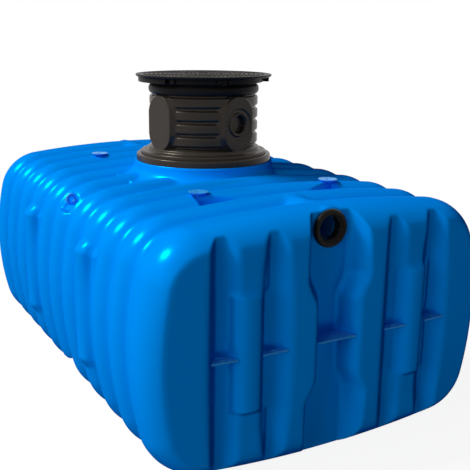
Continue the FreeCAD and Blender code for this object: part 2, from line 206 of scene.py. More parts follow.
# Steps inside every second pad: radius, width of the step and how far it stands out
PAD_RINGS = [(0.0875, 0.004, -0.006), (0.066, 0.004, 0.009), (0.056, 0.003, -0.006), (0.0475, 0.003, -0.030)]
BEAD_MIDDLE = 1.718
BEAD_SEAT_RADIUS = 0.306
BEAD_WIDTH = 0.020
BEAD_HALF_HEIGHT = 0.0285
SKIRT_RADIUS = 0.349
SKIRT_TOP = FRAME_TOP - 0.001
LOBE_ROOT = 0.345
# Lobes of the cover frame: direction and half width in degrees, radius and lower edge
LOBES = [
    (0, 29, 0.385, 1.757), (180, 29, 0.385, 1.757), (-103.5, 1.5, 0.371, 1.757),
    (-99, 2.2, 0.365, 1.752), (-94.5, 1.2, 0.371, 1.757), (-146.5, 2.5, 0.362, 1.757),
]
KNOB_FIELD = 0.36
KNOB_RADII = (0.0085, 0.0058)
KNOB_HEIGHT = 0.0042
KNOB_SINK = 0.0002
COVER_CROWN = 0.0016
COVER_CROWN_RADIUS = 0.38

# Stage: lights with their share of the key's strength, angle in degrees and direction, and the solved camera
FLOOR_HALF = 60
AMBIENT = 0.04
LIGHTS = [("key", 1, 15, (0.59, -0.30, -0.74)), ("fill", 0.36, 40, (0.88, 0.22, -0.30))]
SENSOR_WIDTH = 36
FOCAL_LENGTH = 60.27
LENS_SHIFT = (0.0378, -0.0113)
CAMERA_PLACE = (-2.1712, -4.1917, 2.0461)
CAMERA_YAW, CAMERA_PITCH, CAMERA_ROLL = 0.4963, 0.24786, 0.00723

Arc = namedtuple("Arc", "x z radius start end")


def soft_max(first, second, blend):
    """The larger of two values, rounded where they meet."""
    meet = max(blend - abs(first - second), 0) / blend
    return max(first, second) + meet * meet * blend / 4


def soft_min(first, second, blend):
    """The smaller of two values, rounded where they meet."""
    return -soft_max(-first, -second, blend)


def ease(value):
    """A smooth step from 0 to 1."""
    value = min(max(value, 0), 1)
    return value * value * (3 - 2 * value)


def section_arcs():
    """The tangent arcs of the cross-section, from the right wall round by the roof."""
    rise = HALF_HEIGHT - ROOF_BULGE
    run = HALF_WIDTH - SIDE_BULGE
    side = (rise ** 2 + SIDE_BULGE ** 2) / (2 * SIDE_BULGE)
    roof = (run ** 2 + ROOF_BULGE ** 2) / (2 * ROOF_BULGE)
    side_x = HALF_WIDTH - side
    roof_z = HALF_HEIGHT - roof
    gap = math.hypot(side_x, roof_z)
    lean = math.atan2(roof_z, -side_x)
    to_side = side - CORNER_RADIUS
    to_roof = roof - CORNER_RADIUS
    swing = math.acos((gap ** 2 + to_side ** 2 - to_roof ** 2) / (2 * gap * to_side))
    corner_x = side_x + to_side * math.cos(lean + swing)
    corner_z = to_side * math.sin(lean + swing)
    low = math.atan2(corner_z, corner_x - side_x)
    high = math.atan2(corner_z - roof_z, corner_x)
    pi = math.pi
    middle = HALF_HEIGHT
    return [
        Arc(side_x, middle, side, -low, low),
        Arc(corner_x, middle + corner_z, CORNER_RADIUS, low, high),
        Arc(0, middle + roof_z, roof, high, pi - high),
        Arc(-corner_x, middle + corner_z, CORNER_RADIUS, pi - high, pi - low),
        Arc(-side_x, middle, side, pi - low, pi + low),
        Arc(-corner_x, middle - corner_z, CORNER_RADIUS, pi + low, pi + high),
        Arc(0, middle - roof_z, roof, pi + high, 2 * pi - high),
        Arc(corner_x, middle - corner_z, CORNER_RADIUS, 2 * pi - high, 2 * pi - low),
    ]


ARCS = section_arcs()
LENGTHS = [arc.radius * (arc.end - arc.start) for arc in ARCS]
AROUND = sum(LENGTHS)
EDGE_TURN = math.asin(ROOF_EDGE / ARCS[2].radius)
RIB_TURN = 2 * math.atan(2 * RIB_DEPTH / RIB_PITCH)
CREST_ARC = (RIB_PITCH / 2 - GROOVE_HALF) / math.sin(RIB_TURN)
GROOVE_ARC = GROOVE_HALF / math.sin(RIB_TURN)
# Lengths of the end's rim: groove, crest, straight and rounded edge
RIM = [
    GROOVE_ARC * RIB_TURN,
    CREST_ARC * RIB_TURN,
    HALF_LENGTH - END_ROUND - BARREL_END - RIB_PITCH / 2,
    END_ROUND * math.pi / 2,
]
# Straight channels: middle, depth, and half widths of floor and mouth
CHANNELS = [
    (-OUTER_X, OUTER_DEPTH, OUTER_FLOOR, OUTER_MOUTH),
    (-INNER_X, INNER_DEPTH, INNER_FLOOR, INNER_MOUTH),
    (INNER_X, INNER_DEPTH, INNER_FLOOR, INNER_MOUTH),
    (OUTER_X, OUTER_DEPTH, OUTER_FLOOR, OUTER_MOUTH),
]


def section_place(along):
    """Arc and angle at a distance along the cross-section, from the right wall's lower end upwards."""
    along %= AROUND
    for arc, length in zip(ARCS, LENGTHS):
        if along <= length:
            return arc, arc.start + along / arc.radius
        along -= length
    return ARCS[-1], ARCS[-1].end


def rib_inset(y):
    """How far the ribbed wall lies inside the crests' level at y."""
    off = abs(y - RIB_PITCH * round(y / RIB_PITCH))
    if off < RIB_PITCH / 2 - GROOVE_HALF:
        return CREST_ARC - math.sqrt(CREST_ARC ** 2 - off ** 2)
    back = RIB_PITCH / 2 - off
    return RIB_DEPTH - GROOVE_ARC + math.sqrt(GROOVE_ARC ** 2 - back ** 2)


def ridge_inset(x, level):
    """How far the ridge behind a port lies below the roof's level at x."""
    top = PORT_HEIGHT + BOSS_RADIUS - RIDGE_DROP
    drop = x * x / (2 * BOSS_RADIUS)
    return level - top + drop


def box_reach(along, across, half_along, half_across, slopes):
    """How far a raised or sunken box has to fall back at a place: nothing inside, more outside."""
    out_along = max(abs(along) - half_along, 0) * slopes[0]
    out_across = max(abs(across) - half_across, 0) * slopes[1]
    return math.hypot(out_along, out_across)


def flare_rise(part):
    """Height of the concave flare above its foot, from none at 0 to all of it at 1."""
    return FLARE_HEIGHT * (1 - math.sqrt(max(1 - part ** 2, 0)))


def collar_level(radius):
    """Height of the roof in the flare round the shaft."""
    reach = min(max((radius - FLARE_RADIUS) / FLARE_WIDTH, FLARE_LEAST), 1)
    return FLARE_FOOT + flare_rise(1 - reach)


def scoop_level(x, y):
    """Height of the tapered scoops' floors and walls in the roof ribs' outer flanks."""
    taper = SCOOP_TAPER * (SCOOP_FAR - abs(x)) / (SCOOP_FAR - SCOOP_NEAR)
    back = RIB_PITCH * 3 + SCOOP_BACK + taper
    outside = max(back - abs(y), 0) * SCOOP_SLOPE + max(abs(x) - SCOOP_FAR, 0) * SCOOP_SLOPE
    return SCOOP_FLOOR + outside


def roof_inset(inset, x, y, z):
    """The roof's inset with the ridges behind the ports, the flare round the shaft and the scoops."""
    if abs(x) < RIDGE_HALF_WIDTH and abs(y) > RIB_PITCH * 4:
        inset = soft_min(inset, ridge_inset(x, z), RIDGE_BLEND)
    distance = math.hypot(x, y)
    if distance < COLLAR_RADIUS:
        inset = soft_min(inset, z - collar_level(distance), FLARE_BLEND)
    if RIB_PITCH * 3 < abs(y) < RIB_PITCH * 3.5 and SCOOP_REACH[0] < abs(x) < SCOOP_REACH[1]:
        inset = soft_max(inset, z - scoop_level(x, y), SCOOP_BLEND)
    return inset


def floor_inset(inset, x, y, z):
    """The floor's inset with the flat lands that the ribs stand on."""
    off = abs(y) - RIB_PITCH * round(abs(y) / RIB_PITCH)
    land = box_reach(x, off, LAND_HALF_WIDTH, LAND_HALF_LENGTH, LAND_SLOPES)
    return soft_min(inset, land - z, LAND_BLEND)


def pocket_inset(inset, arc, angle, y):
    """A corner's inset with the pocket in the middle rib."""
    middle = (arc.start + arc.end) / 2
    tilt = math.copysign(POCKET_TILT, -math.sin(2 * middle))
    run = (angle - middle - tilt) * arc.radius
    if abs(run) < POCKET_REACH[0] and abs(y) < POCKET_REACH[1]:
        rise = box_reach(run, y, POCKET_HALF_RUN, POCKET_HALF_LENGTH, POCKET_SLOPES)
        inset = soft_max(inset, POCKET_DEPTH - rise, POCKET_BLEND)
    return inset


def block_inset(inset, x, y, z, angle):
    """A side's inset with the tall rounded blocks."""
    off = abs(y) - RIB_PITCH * BLOCK_RIB
    if abs(off) < BLOCK_REACH and BLOCK_HEIGHTS[0] < z < BLOCK_HEIGHTS[1]:
        beyond = max(abs(z - BLOCK_MIDDLE) - BLOCK_HALF_HEIGHT, 0)
        part = min(abs(off) / BLOCK_HALF_WIDTH, 1)
        fall = BLOCK_ROUND * (1 - math.sqrt(1 - part * part))
        fall += BLOCK_END_SLOPE * beyond + BLOCK_END_BEND * beyond ** 2
        level = abs(x) - (BLOCK_FACE - fall)
        inset = soft_min(inset, level / max(abs(math.cos(angle)), LEAST_COSINE), BLOCK_BLEND)
    return inset


def barrel_point(arc, angle, y):
    """A point of the ribbed skin with its blocks, pockets, scoops, lands and collar."""
    inset = rib_inset(y)
    x = arc.x + arc.radius * math.cos(angle)
    z = arc.z + arc.radius * math.sin(angle)
    if arc.x == 0 and z > HALF_HEIGHT:
        inset = roof_inset(inset, x, y, z)
    elif arc.x == 0:
        inset = floor_inset(inset, x, y, z)
    else:
        if arc.radius == CORNER_RADIUS:
            inset = pocket_inset(inset, arc, angle, y)
        inset = block_inset(inset, x, y, z, angle)
    reach = arc.radius - inset
    x = arc.x + reach * math.cos(angle)
    z = arc.z + reach * math.sin(angle)
    return Vector((min(max(x, -SIDE_REACH), SIDE_REACH), y, max(z, 0)))


def rim_place(part):
    """Inset and y on the end's rim, part of the way from the last groove to the flat face."""
    along = part * sum(RIM)
    if along < RIM[0]:
        turn = along / GROOVE_ARC
        return RIB_DEPTH - GROOVE_ARC * (1 - math.cos(turn)), -BARREL_END - GROOVE_ARC * math.sin(turn)
    along -= RIM[0]
    crest = -BARREL_END - RIB_PITCH / 2
    if along < RIM[1]:
        turn = RIB_TURN - along / CREST_ARC
        return CREST_ARC * (1 - math.cos(turn)), crest + CREST_ARC * math.sin(turn)
    along -= RIM[1]
    if along < RIM[2]:
        return 0, crest - along
    turn = (along - RIM[2]) / END_ROUND
    return END_ROUND * (1 - math.cos(turn)), -HALF_LENGTH + END_ROUND * (1 - math.sin(turn))


def domed_face(square):
    """y of the domed end face at the square of a distance from its middle."""
    return -HALF_LENGTH + square / (2 * DOME_RADIUS)


def channel(off, face, depth, floor, mouth):
    """y of a channel's pillowed walls and floor at a distance from its middle."""
    if off > mouth:
        return NO_CHANNEL
    part = min((mouth - off) / (mouth - floor), 1)
    return face + depth * (1 - (1 - part ** 1.6) ** 1.5)


def middle_channel(x, z):
    """y of the middle channel, wide round the port and at the foot, with a waist between."""
    above = (z - HALF_HEIGHT - WAIST_HALF_HEIGHT) / WAIST_EASE
    below = (HALF_HEIGHT - WAIST_HALF_HEIGHT - z) / WAIST_EASE
    narrow = 1 - ease(max(above, below))
    floor = MIDDLE_FLOOR - WAIST_FLOOR * narrow
    mouth = MIDDLE_MOUTH - WAIST_MOUTH * narrow
    return channel(abs(x), -HALF_LENGTH, MIDDLE_DEPTH, floor, mouth)


def barred(deep, x, z):
    """The end's y between two straight channels, with the upright bar and the step back round it."""
    face = domed_face(x * x)
    across = abs(x) - BAR_X
    part = min(abs(across) / BAR_HALF_WIDTH, 1)
    bar = face - BAR_RISE + OUTER_DEPTH * 1.1 * part ** 2.7
    floor = face + (OUTER_DEPTH if across > 0 else INNER_DEPTH)
    share = ease((BAR_HALF_HEIGHT - abs(z - BAR_MIDDLE)) / BAR_EASE)
    beside = ease((BAR_HALF_WIDTH + STEP_BESIDE - abs(across)) / (2 * STEP_BESIDE))
    deep += STEP_BACK * beside * ease((STEP_HIGH - z) / STEP_EASE) * ease((z - STEP_LOW) / STEP_EASE)
    return deep + share * (soft_min(bar, floor, BAR_BLEND) - deep)


def end_point(x, y, z):
    """A point of the end, sunk into its channels or raised to its bars and port boss."""
    deep = y
    for centre, depth, floor, mouth in CHANNELS:
        wall = channel(abs(x - centre), domed_face(x * x), depth, floor, mouth)
        deep = soft_max(deep, wall, CHANNEL_BLEND)
    deep = soft_max(deep, middle_channel(x, z), CHANNEL_BLEND)
    if INNER_X < abs(x) < OUTER_X:
        deep = barred(deep, x, z)
    if y > PORT_FACE and abs(x) < BOSS_RADIUS and z > PORT_HEIGHT:
        z = soft_max(z, PORT_HEIGHT + math.sqrt(BOSS_RADIUS ** 2 - x * x), BOSS_BLEND)
    return Vector((x, max(deep, -HALF_LENGTH), z))


def piece_from(shape, name, material, nodes=(), smooth=35):
    """Turn a bmesh into a finished piece under the root body, hiding the nodes it takes the place of, with
    edges sharp past an angle.
    """
    mesh = bpy.data.meshes.new(name)
    shape.to_mesh(mesh)
    shape.free()
    mesh.materials.append(material)
    mesh.shade_smooth()
    if smooth:
        mesh.set_sharp_from_angle(angle=math.radians(smooth))
    piece = bpy.data.objects.new(name, mesh)
    bpy.context.scene.collection.objects.link(piece)
    if nodes:
        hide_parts(*nodes)
    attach(piece, "root")
    return piece


def skin_object(name, shape, nodes, material):
    """Close a skin's seams and stand it in for its nodes."""
    bmesh.ops.remove_doubles(shape, verts=shape.verts, dist=MERGE)
    return piece_from(shape, name, material, nodes, None)


def barrel_skin(start, length, grid):
    """Part of the barrel as a grid laid round the cross-section."""
    shape = bmesh.new()
    bmesh.ops.create_grid(shape, x_segments=grid[0], y_segments=grid[1], size=1)
    for vert in shape.verts:
        arc, angle = section_place(start + (vert.co.x + 1) / 2 * length)
        vert.co = barrel_point(arc, angle, vert.co.y * BARREL_END)
    bmesh.ops.recalc_face_normals(shape, faces=shape.faces)
    return shape


def rim_direction(u, v):
    """Arc and angle of the cross-section in the direction of a place on the unit square's edge."""
    corner = LENGTHS[1] / 2
    if u >= 1:
        span = LENGTHS[0] + 2 * corner
        return section_place(-corner + span * (v + 1) / 2)
    if v >= 1:
        span = LENGTHS[2] + 2 * corner
        return section_place(LENGTHS[0] + corner + span * (1 - u) / 2)
    if u <= -1:
        span = LENGTHS[4] + 2 * corner
        return section_place(sum(LENGTHS[:3]) + corner + span * (1 - v) / 2)
    span = LENGTHS[6] + 2 * corner
    return section_place(sum(LENGTHS[:5]) + corner + span * (u + 1) / 2)


def end_vertex(u, v):
    """The place on the front end of a place in the square from -1 to 1."""
    out = max(abs(u), abs(v))
    if out == 0:
        return end_point(0, -HALF_LENGTH, HALF_HEIGHT)
    arc, angle = rim_direction(u / out, v / out)
    if out > 1 - RIM_SHARE:
        inset, y = rim_place((1 - out) / RIM_SHARE)
        share = 1
    else:
        inset, y = END_ROUND, -HALF_LENGTH
        share = out / (1 - RIM_SHARE)
    reach = arc.radius - inset
    x = (arc.x + reach * math.cos(angle)) * share
    z = HALF_HEIGHT + (arc.z + reach * math.sin(angle) - HALF_HEIGHT) * share
    if y <= -BARREL_END - RIB_PITCH / 2:
        dome = domed_face(x * x + (z - HALF_HEIGHT) ** 2)
        return end_point(x, soft_max(y, dome, DOME_BLEND), z)
    if z > HALF_HEIGHT and abs(x) < RIDGE_HALF_WIDTH:
        level = z + inset
        z = level - soft_min(inset, ridge_inset(x, level), RIDGE_BLEND)
    return Vector((x, y, z))


def in_port_hole(face):
    """Whether a face of the end lies in the port's hole."""
    middle = face.calc_center_median()
    away = math.hypot(middle.x, middle.z - PORT_HEIGHT)
    return away < PORT_HOLE_RADIUS and middle.y < PORT_HOLE_FRONT


def end_skin():
    """The front end as a grid drawn onto its rounded face."""
    shape = bmesh.new()
    bmesh.ops.create_grid(shape, x_segments=END_GRID[0], y_segments=END_GRID[1], size=1)
    for vert in shape.verts:
        vert.co = end_vertex(vert.co.x, vert.co.y)
    bmesh.ops.recalc_face_normals(shape, faces=shape.faces)
    port = [face for face in shape.faces if in_port_hole(face)]
    bmesh.ops.delete(shape, geom=port, context="FACES")
    return shape


def turn_shape(shape, angle, axis):
    """Turn a whole shape about an axis through the origin."""
    bmesh.ops.rotate(shape, cent=(0, 0, 0), matrix=Matrix.Rotation(angle, 3, axis), verts=shape.verts)


def build_skins(material):
    """Roof, sides and both ends of the tank."""
    roof_length = 2 * ARCS[2].radius * EDGE_TURN
    roof_start = LENGTHS[0] + LENGTHS[1] + LENGTHS[2] / 2 - roof_length / 2
    roof = barrel_skin(roof_start, roof_length, ROOF_GRID)
    skin_object("tank_roof", roof, ["roof"], material)
    sides = barrel_skin(roof_start + roof_length, AROUND - roof_length, SIDES_GRID)
    side_nodes = ["floor", "left_wall", "right_wall", "upper_left_corner", "upper_right_corner",
                  "lower_left_corner", "lower_right_corner"]
    skin_object("tank_sides", sides, side_nodes, material)
    front = end_skin()
    rear = front.copy()
    turn_shape(rear, math.pi, "Z")
    skin_object("tank_front_end", front, ["front_end"], material)
    skin_object("tank_rear_end", rear, ["rear_end"], material)


class TankFinish(PropertyGroup):
    """Colours and finish of the tank's plastics and rubber."""

    shell: FloatVectorProperty(
        name="Shell", description="Blue of the tank", subtype="COLOR", default=(0.0, 0.262, 0.87))
    # The paler blue is a lit copy of the shell's blue: painted light on the tabs' tops, the eyes, the lugs and
    # the port sleeves.
    painted_light_blue: FloatVectorProperty(
        name="Tabs", description="Paler blue with painted light on the tabs, eyes and lugs", subtype="COLOR", default=(0.04, 0.36, 0.87))
    shaft: FloatVectorProperty(
        name="Shaft", description="Brown-black of the shaft", subtype="COLOR", default=(0.032, 0.027, 0.022))
    cover: FloatVectorProperty(
        name="Cover", description="Black of the cover", subtype="COLOR", default=(0.016, 0.0145, 0.0135))
    rubber: FloatVectorProperty(
        name="Rubber", description="Black of the seals", subtype="COLOR", default=(0.008, 0.007, 0.006))
    knob_gap: FloatProperty(
        name="Knob gap", description="Distance between the cover's knobs", subtype="DISTANCE",
        unit="LENGTH", default=0.027, min=0.015)
    key_strength: FloatProperty(
        name="Key light", description="Strength of the key light", default=3.05, min=0)


def finish():
    """The finish that the sidebar shows."""
    return bpy.context.scene.tank_finish


def add_node(tree, kind, **inputs):
    """A shader node with the values of its named inputs."""
    node = tree.nodes.new(kind)
    for name, value in inputs.items():
        node.inputs[name.replace("_", " ")].default_value = value
    return node


def add_math(tree, operation, first, second):
    """The output of a math node on a socket and a second socket or number."""
    node = tree.nodes.new("ShaderNodeMath")
    node.operation = operation
    tree.links.new(first, node.inputs[0])
    if isinstance(second, float):
        node.inputs[1].default_value = second
    else:
        tree.links.new(second, node.inputs[1])
    return node.outputs[0]


def mould_group():
    """Node group: faint mottling of colour and roughness and the fine orange peel of moulded plastic."""
    group = bpy.data.node_groups.get("moulded skin")
    if group:
        return group
    group = bpy.data.node_groups.new("moulded skin", "ShaderNodeTree")
    sockets = group.interface
    colour = sockets.new_socket("Colour", in_out="INPUT", socket_type="NodeSocketColor")
    colour.default_value = (0.5, 0.5, 0.5, 1)
    for name, value in (("Mottle Size", 3.0), ("Mottle", 0.08), ("Roughness", 0.4),
                        ("Peel Size", 120.0), ("Peel", 0.1)):
        socket = sockets.new_socket(name, in_out="INPUT", socket_type="NodeSocketFloat")
        socket.default_value = value
    sockets.new_socket("Colour", in_out="OUTPUT", socket_type="NodeSocketColor")
    sockets.new_socket("Roughness", in_out="OUTPUT", socket_type="NodeSocketFloat")
    sockets.new_socket("Normal", in_out="OUTPUT", socket_type="NodeSocketVector")
    link = group.links.new
    inward = group.nodes.new("NodeGroupInput")
    outward = group.nodes.new("NodeGroupOutput")
    place = group.nodes.new("ShaderNodeTexCoord")
    cloud = add_node(group, "ShaderNodeTexNoise", Detail=4.0)
    link(place.outputs["Object"], cloud.inputs["Vector"])
    link(inward.outputs["Mottle Size"], cloud.inputs["Scale"])
    centred = add_math(group, "SUBTRACT", cloud.outputs["Fac"], 0.5)
    swing = add_math(group, "MULTIPLY", centred, inward.outputs["Mottle"])
    tint = group.nodes.new("ShaderNodeVectorMath")
    tint.operation = "SCALE"
    link(inward.outputs["Colour"], tint.inputs[0])
    link(add_math(group, "ADD", swing, 1.0), tint.inputs["Scale"])
    link(tint.outputs[0], outward.inputs["Colour"])
    link(add_math(group, "ADD", inward.outputs["Roughness"], swing), outward.inputs["Roughness"])
    peel = add_node(group, "ShaderNodeTexNoise", Detail=2.0)
    link(place.outputs["Object"], peel.inputs["Vector"])
    link(inward.outputs["Peel Size"], peel.inputs["Scale"])
    bump = add_node(group, "ShaderNodeBump", Distance=0.001)
    link(peel.outputs["Fac"], bump.inputs["Height"])
    link(inward.outputs["Peel"], bump.inputs["Strength"])
    link(bump.outputs["Normal"], outward.inputs["Normal"])
    return group


def moulded(name, colour, roughness, mottle, peel, level, metal):
    """A moulded plastic or rubber: its colour and gloss, and size and strength of its mottle and peel."""
    material = bpy.data.materials.get(name)
    if material:
        return material
    material = bpy.data.materials.new(name)
    material.use_nodes = True
    tree = material.node_tree
    shader = tree.nodes["Principled BSDF"]
    shader.inputs["Specular IOR Level"].default_value = level
    shader.inputs["Metallic"].default_value = metal
    brightest = max(colour)
    shader.inputs["Specular Tint"].default_value = (*[0.4 * part / brightest for part in colour], 1)
    skin = tree.nodes.new("ShaderNodeGroup")
    skin.node_tree = mould_group()
    skin.inputs["Colour"].default_value = (*colour, 1)
    skin.inputs["Roughness"].default_value = roughness
    skin.inputs["Mottle Size"].default_value, skin.inputs["Mottle"].default_value = mottle
    skin.inputs["Peel Size"].default_value, skin.inputs["Peel"].default_value = peel
    tree.links.new(skin.outputs["Colour"], shader.inputs["Base Color"])
    tree.links.new(skin.outputs["Roughness"], shader.inputs["Roughness"])
    tree.links.new(skin.outputs["Normal"], shader.inputs["Normal"])
    return material


def shell_plastic():
    """Glossy blue of the shell."""
    return moulded("blue shell plastic", finish().shell, 0.26, (2.2, 0.05), (90.0, 0.04), 0.0, 0.15)


def painted_light_blue_plastic():
    """Paler copy of the shell's blue, with painted light: it makes the tabs' tops, the eyes, the lugs and the
    port sleeves look lit.
    """
    return moulded("tab plastic", finish().painted_light_blue, 0.30, (2.2, 0.05), (90.0, 0.04), 0.1, 0.1)


def shaft_plastic():
    """Satin brown-black of the shaft."""
    return moulded("shaft plastic", finish().shaft, 0.27, (5.0, 0.12), (220.0, 0.12), 0.5, 0.30)


def cover_plastic():
    """Satin black of the bead, the frame and the cover."""
    return moulded("cover plastic", finish().cover, 0.38, (6.0, 0.18), (260.0, 0.18), 0.08, 0.1)


def seal_rubber():
    """Black rubber of the port rings."""
    return moulded("seal rubber", finish().rubber, 0.38, (9.0, 0.15), (320.0, 0.10), 0.2, 0.0)


def spun(outline, steps=192):
    """A closed ring from its outline of radii and heights, as a grid laid round the shaft's axis."""
    shape = bmesh.new()
    count = len(outline)
    bmesh.ops.create_grid(shape, x_segments=steps, y_segments=count, size=1)
    for vert in shape.verts:
        azimuth = vert.co.x * math.pi
        radius, height = outline[round((vert.co.y + 1) / 2 * count) % count]
        vert.co = Vector((radius * math.cos(azimuth), radius * math.sin(azimuth), height))
    bmesh.ops.remove_doubles(shape, verts=shape.verts, dist=MERGE)
    bmesh.ops.recalc_face_normals(shape, faces=shape.faces)
    return shape


def rounded(outline, radius, segments=5):
    """The outline with each corner rounded by up to radius."""
    points = []
    for before, corner, after in zip(outline[-1:] + outline[:-1], outline, outline[1:] + outline[:1]):
        corner = Vector(corner).to_3d()
        to_before = Vector(before).to_3d() - corner
        to_after = Vector(after).to_3d() - corner
        reach = min(radius, to_before.length * 0.45, to_after.length * 0.45)
        start = corner + to_before.normalized() * reach
        end = corner + to_after.normalized() * reach
        for step in range(segments + 1):
            part = step / segments
            bend = start.lerp(corner, part).lerp(corner.lerp(end, part), part)
            points.append((bend.x, bend.y))
    return points


def bent(outline, radius, segments=6):
    """An open run of corners, each but the ends rounded by up to radius."""
    return outline[:1] + rounded(outline, radius, segments)[segments + 1:-segments - 1] + outline[-1:]


def carried_over(node, material):
    """Give a CAD node that stays its material."""
    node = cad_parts[node]
    node.data.materials.clear()
    node.data.materials.append(material)


def holed_plates(name, place, turn, outline):
    """The plates with a hole on both sides of the tank, and towards both ends where they are off its middle."""
    ends = (-1, 1) if place[1] else (1,)
    for side in (-1, 1):
        for end in ends:
            plate = spun(rounded(outline, PLATE_ROUND, 4), 48)
            turn_shape(plate, turn, "X")
            bmesh.ops.translate(plate, vec=(side * place[0], end * place[1], place[2]), verts=plate.verts)
            # The plates take the paler blue, painted light that makes them look lit.
            piece_from(plate, name, painted_light_blue_plastic())


def in_port(shape, turn):
    """Lay a ring made about the shaft's axis into the front port, or the rear one with a half turn."""
    turn_shape(shape, math.pi / 2, "X")
    bmesh.ops.translate(shape, vec=(0, PORT_FACE, PORT_HEIGHT), verts=shape.verts)
    turn_shape(shape, turn, "Z")
    return shape


def neck_radius(z):
    """Radius of the ribbed neck at a height."""
    if z < BASE_TOP:
        return NECK_FOOT_RADIUS
    off = abs((z - BASE_TOP) / RIB_STEP - round((z - BASE_TOP) / RIB_STEP)) * RIB_STEP
    if off < NECK_GROOVE_HALF:
        return NECK_RADIUS - NECK_GROOVE_DEPTH
    part = min((off - NECK_GROOVE_HALF) / NECK_GROOVE_FLANK, 1)
    return NECK_RADIUS - NECK_GROOVE_DEPTH * (1 - math.sqrt(max(1 - (1 - part) ** 2, 0)))


def pad_reach(azimuth, z, radius):
    """Radius of the neck where its nearest flat pad, with its rings, stands out."""
    quarter = math.pi / 2
    index = round((azimuth - PAD_TURN) / quarter)
    swing = azimuth - PAD_TURN - index * quarter
    across = abs(PAD_FACE * math.tan(swing))
    above = z - PAD_MIDDLE
    straight = PAD_HALF_HEIGHT - PAD_HALF_WIDTH
    away = math.hypot(across, max(abs(above) - straight, 0)) - PAD_HALF_WIDTH
    face = PAD_FACE
    if away > 0:
        face -= PAD_EDGE_DROP * ease(away / PAD_EDGE_WIDTH) + max(away - PAD_EDGE_DROP, 0) * PAD_SLOPE
        return soft_max(radius, face / math.cos(swing), PAD_BLEND)
    if index % 2:
        ring = math.hypot(across, above)
        for edge, width, rise in PAD_RINGS:
            face += rise * (1 - ease((ring - edge) / width))
    return face / math.cos(swing)


def add_lobe(shape, turn, half, radius, low):
    """Add a sector of the cover frame that stands out from its skirt."""
    outline = rounded([(LOBE_ROOT, low), (radius, low), (radius, SKIRT_TOP), (LOBE_ROOT, SKIRT_TOP)], 0.003, 3)
    steps = max(int(half), 4)
    rows = []
    for step in range(steps + 1):
        azimuth = math.radians(turn + half * (2 * step / steps - 1))
        rows.append([shape.verts.new((r * math.cos(azimuth), r * math.sin(azimuth), z)) for r, z in outline])
    for before, after in zip(rows, rows[1:]):
        for k in range(len(outline)):
            shape.faces.new((before[k - 1], before[k], after[k], after[k - 1]))
    shape.faces.new(rows[0])
    shape.faces.new(rows[-1])
    bmesh.ops.recalc_face_normals(shape, faces=shape.faces)


def seen_rays(tree):
    """The rays that show a surface to the camera, straight or by reflection or through glass."""
    rays = tree.nodes.new("ShaderNodeLightPath")
    total = rays.outputs["Is Camera Ray"]
    for name in ("Is Glossy Ray", "Is Transmission Ray"):
        total = add_math(tree, "MAXIMUM", total, rays.outputs[name])
    return total


def floor_material():
    """Pale floor that shows white to the camera and keeps the tank's soft shadow."""
    material = bpy.data.materials.new("pale floor")
    material.use_nodes = True
    tree = material.node_tree
    tree.nodes.remove(tree.nodes["Principled BSDF"])
    dull = add_node(tree, "ShaderNodeBsdfDiffuse", Color=(0.12, 0.12, 0.12, 1))
    glow = add_node(tree, "ShaderNodeEmission", Color=(1, 1, 1, 1), Strength=0.9)
    total = tree.nodes.new("ShaderNodeAddShader")
    mix = tree.nodes.new("ShaderNodeMixShader")
    tree.links.new(dull.outputs[0], total.inputs[0])
    tree.links.new(glow.outputs[0], total.inputs[1])
    tree.links.new(seen_rays(tree), mix.inputs[0])
    tree.links.new(dull.outputs[0], mix.inputs[1])
    tree.links.new(total.outputs[0], mix.inputs[2])
    tree.links.new(mix.outputs[0], tree.nodes["Material Output"].inputs["Surface"])
    return material


def add_floor(scene):
    """The pale floor under the tank."""
    shape = bmesh.new()
    bmesh.ops.create_grid(shape, x_segments=1, y_segments=1, size=FLOOR_HALF)
    mesh = bpy.data.meshes.new("pale_floor")
    shape.to_mesh(mesh)
    shape.free()
    ground = bpy.data.objects.new("pale_floor", mesh)
    scene.collection.objects.link(ground)
    mesh.materials.append(floor_material())


def add_world(scene):
    """A world that looks white and gives only a little light."""
    world = bpy.data.worlds.new("studio")
    scene.world = world
    world.use_nodes = True
    tree = world.node_tree
    seen = tree.nodes["Background"]
    seen.inputs["Color"].default_value = (1, 1, 1, 1)
    seen.inputs["Strength"].default_value = 1.0
    ambient = add_node(tree, "ShaderNodeBackground", Color=(1, 1, 1, 1), Strength=AMBIENT)
    mix = tree.nodes.new("ShaderNodeMixShader")
    tree.links.new(seen_rays(tree), mix.inputs[0])
    tree.links.new(ambient.outputs[0], mix.inputs[1])
    tree.links.new(seen.outputs[0], mix.inputs[2])
    tree.links.new(mix.outputs[0], tree.nodes["World Output"].inputs["Surface"])


def add_lights(scene):
    """The key light, and a broad fill light that makes no highlights."""
    for name, share, angle, aim in LIGHTS:
        lamp = bpy.data.lights.new(name, "SUN")
        lamp.energy = finish().key_strength * share
        lamp.angle = math.radians(angle)
        light = bpy.data.objects.new(name, lamp)
        scene.collection.objects.link(light)
        light.visible_glossy = name == "key"
        light.rotation_euler = Vector(aim).to_track_quat("-Z", "Y").to_euler()


